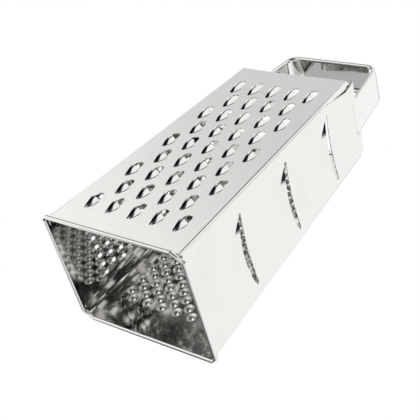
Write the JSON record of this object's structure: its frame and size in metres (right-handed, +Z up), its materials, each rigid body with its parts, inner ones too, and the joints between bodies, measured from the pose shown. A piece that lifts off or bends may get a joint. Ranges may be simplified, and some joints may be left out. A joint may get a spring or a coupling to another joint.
{
  "type": "box grater",
  "caption": "Four-sided sheet steel kitchen grater that tapers up to a strap handle, with coarse, medium and fine teeth and slicing blades on its walls.",
  "frame": {"origin": "centre of the base, on the surface that the rolled hems stand on", "axes": "+Z up through the handle, -Y out of the coarse wall, +X out of the slicing wall"},
  "size_m": [0.1128, 0.0868, 0.254],
  "materials": {
    "wall_steel": "mirror polished stainless sheet",
    "strap_steel": "mirror polished stainless strap"
  },
  "bodies": {
    "root": {"coarse_panel": "wall_steel", "slicer_panel": "wall_steel", "fine_panel": "wall_steel", "medium_panel": "wall_steel", "handle": "strap_steel"}
  },
  "joints": []
}
